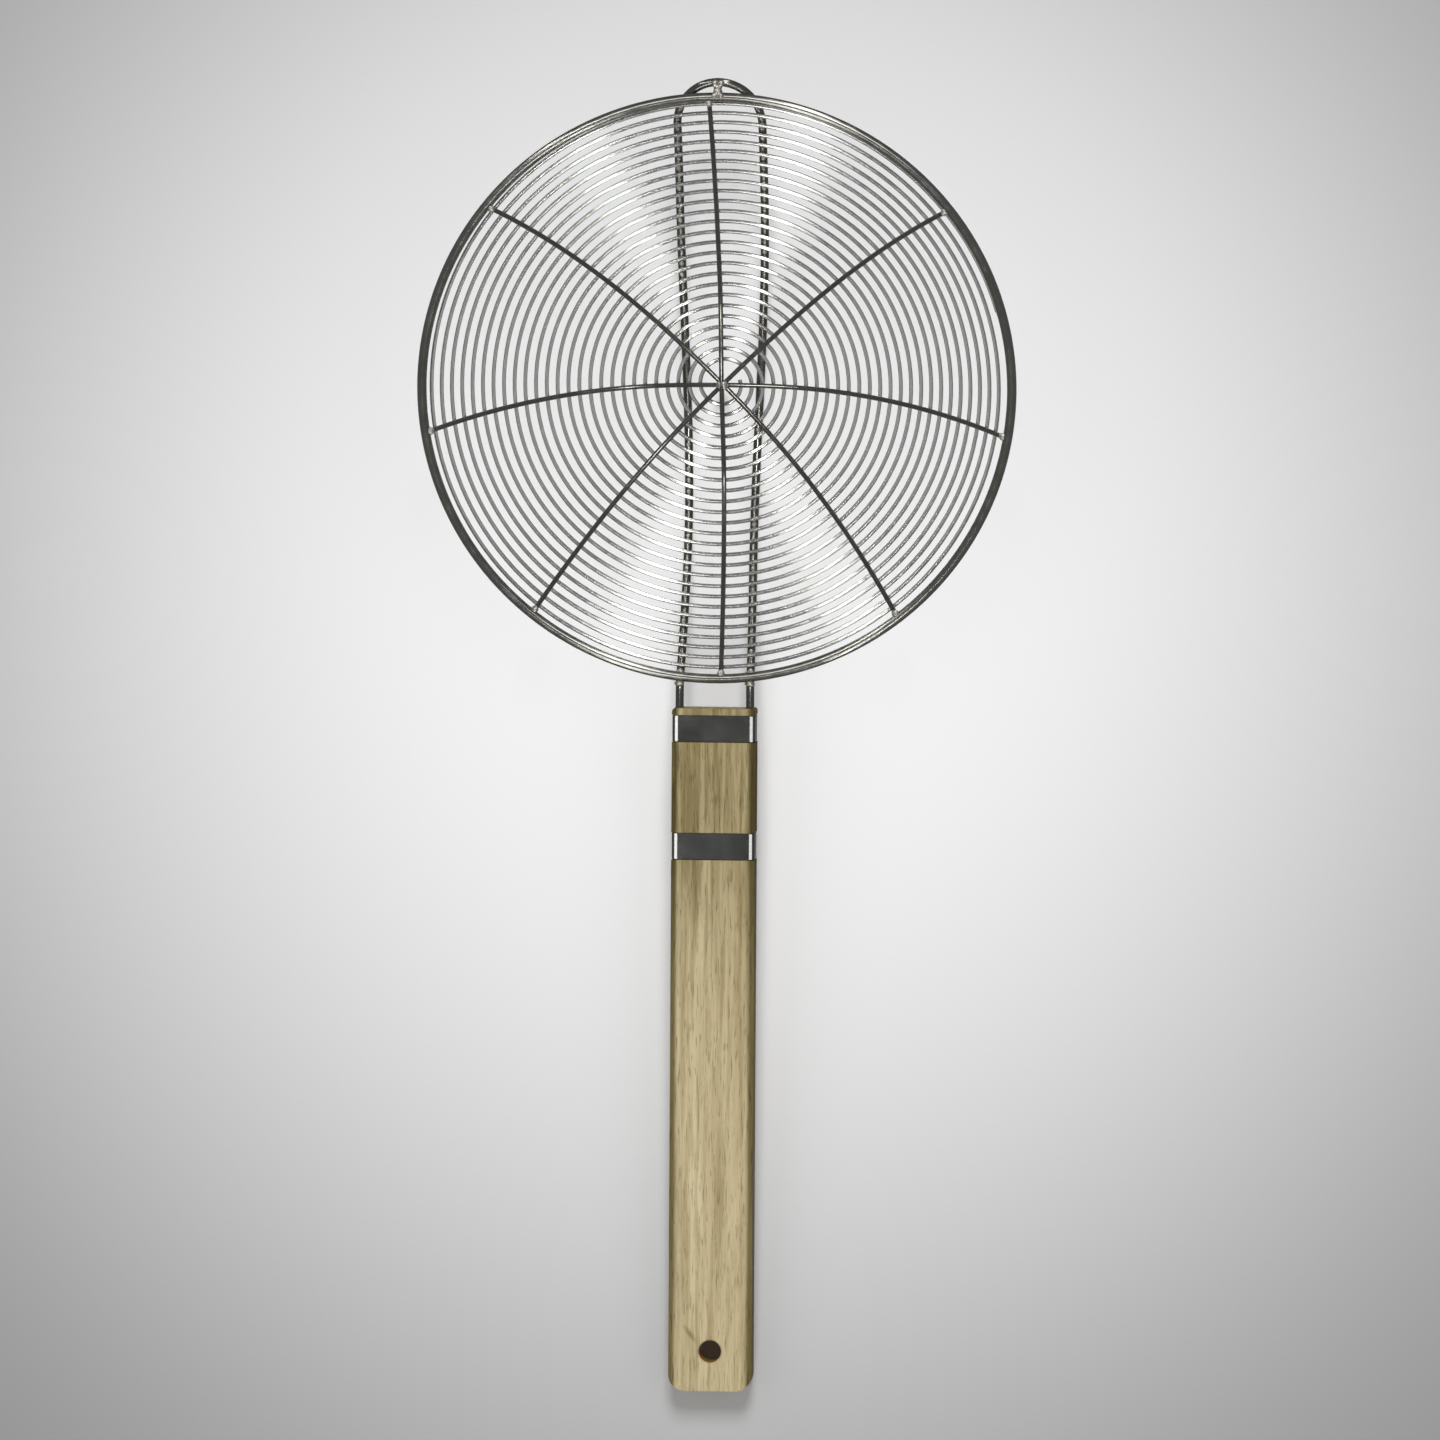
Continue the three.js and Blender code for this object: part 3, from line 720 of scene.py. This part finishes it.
# %% [markdown]
# # Handle
# A joiner saws the bar to its outline, rounds its edges with a router, ploughs a groove in each side for the frame's
# legs, cuts a shallow seat for each band and drills the hole. The same order works here: the outline is extruded, a
# bevel rounds the edges, and booleans cut the grooves, seats and hole. The head end is rounded less than the rest.

# %% Blank of the handle
CORNER_STEPS, HEAD_CORNER_RADIUS, HEAD_EDGE_SHARE, HEAD_ZONE = 12, 1.2, 0.3, 1.01


def corner(x, y, radius, first_quarter):
    angles = [math.pi / 2 * (first_quarter + step / CORNER_STEPS) for step in range(CORNER_STEPS + 1)]
    return [Vector((x + radius * math.cos(a), y + radius * math.sin(a), 0)) for a in angles]


def handle_blank():
    half, end = HANDLE_WIDTH / 2, handle_top - HANDLE_LENGTH
    outline = []
    head, tail = HEAD_CORNER_RADIUS, HANDLE_CORNER_RADIUS
    outline += corner(half - head, handle_top - head, head, 0)
    outline += corner(head - half, handle_top - head, head, 1)
    outline += corner(tail - half, end + tail, tail, 2)
    outline += corner(half - tail, end + tail, tail, 3)
    mesh = bmesh.new()
    bottom = Vector((0, 0, leg_height - HANDLE_THICKNESS / 2))
    face = mesh.faces.new([mesh.verts.new((point + bottom) * MM) for point in outline])
    raised = bmesh.ops.extrude_face_region(mesh, geom=[face])["geom"]
    tops = [part for part in raised if isinstance(part, bmesh.types.BMVert)]
    bmesh.ops.translate(mesh, verts=tops, vec=(0, 0, HANDLE_THICKNESS * MM))
    bmesh.ops.recalc_face_normals(mesh, faces=mesh.faces)
    weight = mesh.edges.layers.float.new("bevel_weight_edge")
    for edge in mesh.edges:
        a, b = (vertex.co for vertex in edge.verts)
        at_head = min(a.y, b.y) > (handle_top - HEAD_CORNER_RADIUS * HEAD_ZONE) * MM
        level = abs(a.z - b.z) < HANDLE_THICKNESS / 2 * MM
        edge[weight] = (HEAD_EDGE_SHARE if at_head else 1) * level
    data = bpy.data.meshes.new("handle_bar")
    mesh.to_mesh(data)
    mesh.free()
    return link_piece("handle_bar", data)


# %% Cutters for the handle
CUT_PAST, HOLE_STEPS, HOLE_EASE, GROOVE_STEPS = 2, 48, 0.5, 12


def solid(name, rings, closed_loop=False):
    """A closed mesh through rings of points, with end caps unless the rings form a loop."""
    mesh = bmesh.new()
    rows = [[mesh.verts.new(point * MM) for point in ring] for ring in rings]
    pairs = list(zip(rows, rows[1:] + rows[:1] if closed_loop else rows[1:]))
    for row, following in pairs:
        for i in range(len(row)):
            j = (i + 1) % len(row)
            mesh.faces.new((row[i], row[j], following[j], following[i]))
    if not closed_loop:
        mesh.faces.new(rows[0])
        mesh.faces.new(rows[-1])
    bmesh.ops.recalc_face_normals(mesh, faces=mesh.faces)
    data = bpy.data.meshes.new(name)
    mesh.to_mesh(data)
    mesh.free()
    return link_piece(name, data)


def hole_cutter():
    y = handle_top - HANDLE_LENGTH + HOLE_FROM_END
    half, radius = HANDLE_THICKNESS / 2, HOLE_DIAMETER / 2
    levels = ((-half - CUT_PAST, radius + HOLE_EASE + CUT_PAST), (-half + HOLE_EASE, radius))
    levels += ((half - HOLE_EASE, radius), (half + CUT_PAST, radius + HOLE_EASE + CUT_PAST))
    angles = [2 * math.pi * step / HOLE_STEPS for step in range(HOLE_STEPS)]
    rings = [[Vector((r * math.cos(a), y + r * math.sin(a), leg_height + z)) for a in angles] for z, r in levels]
    return solid("hole_cutter", rings)


def groove_cutter(side):
    half, outside = frame_radius + SEAT_GAP, HANDLE_WIDTH / 2 + CUT_PAST
    angles = [math.pi / 2 + math.pi * step / GROOVE_STEPS for step in range(GROOVE_STEPS + 1)]
    section = [(leg_half_at_handle + half * math.cos(a), half * math.sin(a)) for a in angles]
    section += [(outside, -half), (outside, half)]
    ends = (leg_end_y - SEAT_GAP, handle_top + CUT_PAST)
    return solid("groove_cutter", [[Vector((side * x, y, leg_height + z)) for x, z in section] for y in ends])


def seat_cutter(inset):
    near, far = handle_top - inset + SEAT_GAP, handle_top - inset - BAND_WIDTH - SEAT_GAP
    deep = BAND_THICKNESS + SEAT_GAP
    rings = []
    for at, out in handle_outline(deep):
        at = at + Vector((0, 0, leg_height))
        past = out * (deep + CUT_PAST)
        rings.append([at + shift + Vector((0, y, 0)) for y, shift in
                      ((near, Vector()), (near, past), (far, past), (far, Vector()))])
    return solid("seat_cutter", rings, closed_loop=True)


# %% Cutting the handle
ROUNDING_STEPS, HANDLE_SHARP_ANGLE = 7, math.radians(28)
bar = handle_blank()
rounding = bar.modifiers.new("routed_edges", "BEVEL")
rounding.limit_method, rounding.width, rounding.segments = "WEIGHT", HANDLE_EDGE_RADIUS * MM, ROUNDING_STEPS
cutters = [hole_cutter(), groove_cutter(-1), groove_cutter(1)]
cutters += [seat_cutter(UPPER_BAND_INSET), seat_cutter(LOWER_BAND_INSET)]
for cutter in cutters:
    cut = bar.modifiers.new(cutter.name, "BOOLEAN")
    cut.operation, cut.solver, cut.object = "DIFFERENCE", "EXACT", cutter
cut_bar = bpy.data.meshes.new_from_object(bar.evaluated_get(bpy.context.evaluated_depsgraph_get()))
for used in [bar, *cutters]:
    bpy.data.objects.remove(used)
cut_bar.name = "handle_oak"
cut_bar.polygons.foreach_set("use_smooth", [True] * len(cut_bar.polygons))
cut_bar.set_sharp_from_angle(angle=HANDLE_SHARP_ANGLE)
handle = link_piece("handle_oak", cut_bar)
handle.modifiers.new("even_light", "WEIGHTED_NORMAL").keep_sharp = True
print(f"the bar has {len(cut_bar.polygons)} faces after {len(cutters)} cuts")

# %% Finishing the handle
HOLE_MARGIN = 0.1
hole_y = (handle_top - HANDLE_LENGTH + HOLE_FROM_END) * MM
hole_reach = (HOLE_DIAMETER / 2 + HOLE_MARGIN) * MM
# The wall of the hole takes the darker bored oak, which carries painted shade.
in_hole = [math.hypot(face.center.x, face.center.y - hole_y) < hole_reach for face in cut_bar.polygons]
settle(handle, "handle_wood", "handle", finishes=(oak, bored_oak_with_painted_shade))
cut_bar.polygons.foreach_set("material_index", [int(inside) for inside in in_hole])
print(f"{sum(in_hole)} faces of the handle are the wall of the hole")

# %% [markdown]
# # Floor
# The strainer lies on a sheet of pale studio paper, with a pool of light painted into its colour: nearly white under
# the bowl and greyer toward the edges. A picture of such a sheet could be loaded, but the distance from its middle
# gives the same grey with two nodes.

# %% Paper with a painted pool of light
LIGHT_POOL_MIDDLE, LIGHT_POOL_TO, LIGHT_POOL_FADED_AT = (0, 0.06, 0), 0.05, 0.5
paper = bpy.data.materials.new("paper_with_painted_light_pool")
paper.use_nodes = True
tree, shader = paper.node_tree, paper.node_tree.nodes["Principled BSDF"]
place = add(tree, "ShaderNodeTexCoord").outputs["Object"]
# Painted light: the paper's colour is pale near the middle and greyer with distance, a pool of light painted in.
away = add(tree, "ShaderNodeVectorMath", {"operation": "DISTANCE", 1: LIGHT_POOL_MIDDLE}, {0: place})
share = {"interpolation_type": "SMOOTHSTEP", "From Min": LIGHT_POOL_TO, "From Max": LIGHT_POOL_FADED_AT}
share = add(tree, "ShaderNodeMapRange", share, {"Value": away.outputs["Value"]})
tint = {"data_type": "RGBA", MIX_A: linear("#f7f7f7"), MIX_B: linear("#969696")}
colour = add(tree, "ShaderNodeMix", tint, {"Factor": share.outputs["Result"]})
tree.links.new(colour.outputs[MIX_RESULT], shader.inputs["Base Color"])
shader.inputs["Roughness"].default_value = 0.9
shader.inputs["Specular IOR Level"].default_value = 0.1
print("finish:", paper.name)

# %% Floor
FLOOR_SIZE, FLOOR_DROP = 8, 0.0003
half = FLOOR_SIZE / 2
sheet = bpy.data.meshes.new("floor")
sheet.from_pydata([(-half, -half, 0), (half, -half, 0), (half, half, 0), (-half, half, 0)], [], [(0, 1, 2, 3)])
sheet.materials.append(paper)
floor = link_piece("floor", sheet)
floor.location.z = -FLOOR_DROP
floor.visible_glossy = False
floor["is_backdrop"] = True
print(f"the floor is {FLOOR_SIZE} m wide and lies {FLOOR_DROP / MM:.1f} mm below the part")

# %% [markdown]
# # Light
# A large soft light stands beyond the tip, far enough to light bowl and handle alike. A weaker one beyond the
# handle's end and two wide scrims at the sides soften the shadows. Polished wire shows its surroundings, so the room
# is dim and the wire dark, and these four don't show in steel. The fine grille casts no shadow, so the paper behind
# it stays clean.


# %% Softboxes
def softbox(name, place, aim, size, watts, lights_paper=True, shows_in_steel=True):
    lamp = bpy.data.lights.new(name, "AREA")
    lamp.shape, lamp.size, lamp.size_y, lamp.energy = "RECTANGLE", *size, watts
    light = bpy.data.objects.new(name, lamp)
    bpy.context.scene.collection.objects.link(light)
    facing = (aim - place).to_track_quat("-Z", "Y").to_matrix().to_4x4()
    light.matrix_world = Matrix.Translation(place) @ facing
    light.visible_camera = False
    light.visible_diffuse = lights_paper
    light.visible_glossy = shows_in_steel
    return light


def group(name, pieces):
    chosen = bpy.data.collections.new(name)
    for piece in pieces:
        chosen.objects.link(piece)
    return chosen


def around(middle, azimuth, elevation, distance):
    a, e = math.radians(azimuth), math.radians(elevation)
    return middle + distance * Vector((math.cos(a) * math.cos(e), math.sin(a) * math.cos(e), math.sin(e)))


# %% Studio light
# Each line gives the azimuth, elevation and distance, then the size in metres and the power in watts.
studio = {}
for name, azimuth, elevation, distance, size, watts in (
    ("left_scrim", 180, 45, 3, (3, 2), 9.5),
    ("right_scrim", 0, 45, 3, (3, 2), 9.5),
    ("main_light", 85, 52, 4, (1.2, 1.6), 94),
    ("fill_light", 270, 45, 4, (1.2, 1.2), 47),
):
    place = around(Vector(), azimuth, elevation, distance)
    studio[name] = softbox(name, place, Vector(), size, watts, shows_in_steel=False)
studio["fill_light"].light_linking.blocker_collection = group("blocks_fill", [handle])
for piece in (rim, spiral, spot_welds, *spokes):
    piece.visible_shadow = False
print("studio lights:", ", ".join(studio))

# %% [markdown]
# # Rays across the rings
# A narrow strip light makes a bright ray across the rings, where they run square to it. It lights one flank of the
# round wire, so each ray needs a second strip across the bowl for the other flank. Two pairs make the four rays, and
# are kept off the spokes, the bands and the wood. Faint cards at the sides lift the rings between the rays.

# %% Rays across the rings
BOWL_MIDDLE, STRIP_ELEVATION, STRIP_DISTANCE, STRIP_HEIGHT = Vector((0, 0.13, 0)), 43, 1.4, 1.6
unlit = group("not_lit_by_strips", [*spokes, *bands, handle])
for piece in unlit.collection_objects:
    piece.light_linking.link_state = "EXCLUDE"
between_rays = group("lit_between_rays", [spiral])
for name, azimuth, width, watts, lit in (
    ("tip_left", 131, 0.045, 3.5, unlit),
    ("grip_right", 289, 0.045, 3.5, unlit),
    ("tip_right", 76, 0.18, 6.2, unlit),
    ("grip_left", 249, 0.15, 4.2, unlit),
    ("side_left", 180, 1.6, 2.3, between_rays),
    ("side_right", 0, 1.6, 2.3, between_rays),
):
    place = around(BOWL_MIDDLE, azimuth, STRIP_ELEVATION, STRIP_DISTANCE)
    strip = softbox(name, place, BOWL_MIDDLE, (width, STRIP_HEIGHT), watts, lights_paper=False)
    strip.light_linking.receiver_collection = lit
    print(f"{name}: {width} m wide at {azimuth} degrees")

# %% [markdown]
# # Glints
# A photographer flags small lights off from all but one kind of piece, and light linking does the same here. One
# over the hub glints on the spokes and the frame, one lights the rim, and a white card on either side shows in the
# rounded edges of the bands.

# %% Glints
HUB_LIGHT_ABOVE, BANDS_MIDDLE = Vector((0.15, 0.12, 1.5)), Vector((0, -0.02, 0.02))
over_hub = BOWL_MIDDLE + HUB_LIGHT_ABOVE
by_rim = around(BOWL_MIDDLE, azimuth=90, elevation=62, distance=1.4)
left, right = [around(BANDS_MIDDLE, azimuth, elevation=48, distance=0.5) for azimuth in (180, 0)]
lit_at_hub, lit_at_rim = group("lit_over_hub", [*spokes, frame_wire]), group("lit_at_rim", [rim])
lit_by_cards = group("lit_by_cards", bands)
for name, place, aim, size, watts, lit in (
    ("hub_light", over_hub, BOWL_MIDDLE, (0.3, 0.3), 5, lit_at_hub),
    ("rim_light", by_rim, BOWL_MIDDLE, (0.9, 0.5), 3.4, lit_at_rim),
    ("left_card", left, BANDS_MIDDLE, (0.5, 0.48), 3.8, lit_by_cards),
    ("right_card", right, BANDS_MIDDLE, (0.5, 0.48), 3, lit_by_cards),
):
    glint = softbox(name, place, aim, size, watts, lights_paper=False)
    glint.light_linking.receiver_collection = lit
    print(f"{name}: {watts} W")

# %% [markdown]
# # Room
# The room itself is an even, dim grey, which is what the dark parts of the wires reflect. The Standard view shows
# the light as it is counted, without the softer highlights that a film-like view gives.

# %% Room
world = bpy.data.worlds.new("dim_studio")
bpy.context.scene.world = world
world.use_nodes = True
world.node_tree.nodes["Background"].inputs["Color"].default_value = linear("#7e7e7f")
bpy.context.scene.view_settings.view_transform = "Standard"
print("room:", world.name)

# %% [markdown]
# # Camera
# The picture was taken from almost straight above, slightly from the right, with a long lens: the handle has the
# same width at both ends. The lens is worked out from the width of the view at the height of the rim.

# %% Camera
PICTURE_PIXELS, PIXELS_PER_MM, CAMERA_DISTANCE, SENSOR_MM, SIGHT_END = 1440, 2.506, 5, 36, 50
CAMERA_TO_RIGHT, CAMERA_ROLL = math.radians(4.6), math.radians(-0.7)
LOOK_AT = Vector((0.0031, 0.0068, RIM_CENTRE.z))
back = Vector((math.sin(CAMERA_TO_RIGHT), 0, math.cos(CAMERA_TO_RIGHT)))
right = Vector((math.sin(CAMERA_ROLL), math.cos(CAMERA_ROLL), 0)).cross(back).normalized()
turn = Matrix((right, back.cross(right), back)).transposed()
lens = bpy.data.cameras.new("camera")
lens.sensor_width = SENSOR_MM
lens.lens = SENSOR_MM * CAMERA_DISTANCE / (PICTURE_PIXELS / PIXELS_PER_MM * MM)
lens.clip_end = SIGHT_END
camera = bpy.data.objects.new("camera", lens)
bpy.context.scene.collection.objects.link(camera)
camera.matrix_world = Matrix.Translation(LOOK_AT + back * CAMERA_DISTANCE) @ turn.to_4x4()
bpy.context.scene.camera = camera
print(f"lens {lens.lens:.0f} mm at {CAMERA_DISTANCE} m")

# %% [markdown]
# Both boxes, of the imported model and of the dressed model, are printed. The dressed model has to
# stay in the imported model's box.

boxes = {"cad": cad_box, "visual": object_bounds()}
for name, box in boxes.items():
    print(name, "box:", [[round(value / MM, 2) for value in point] for point in box])
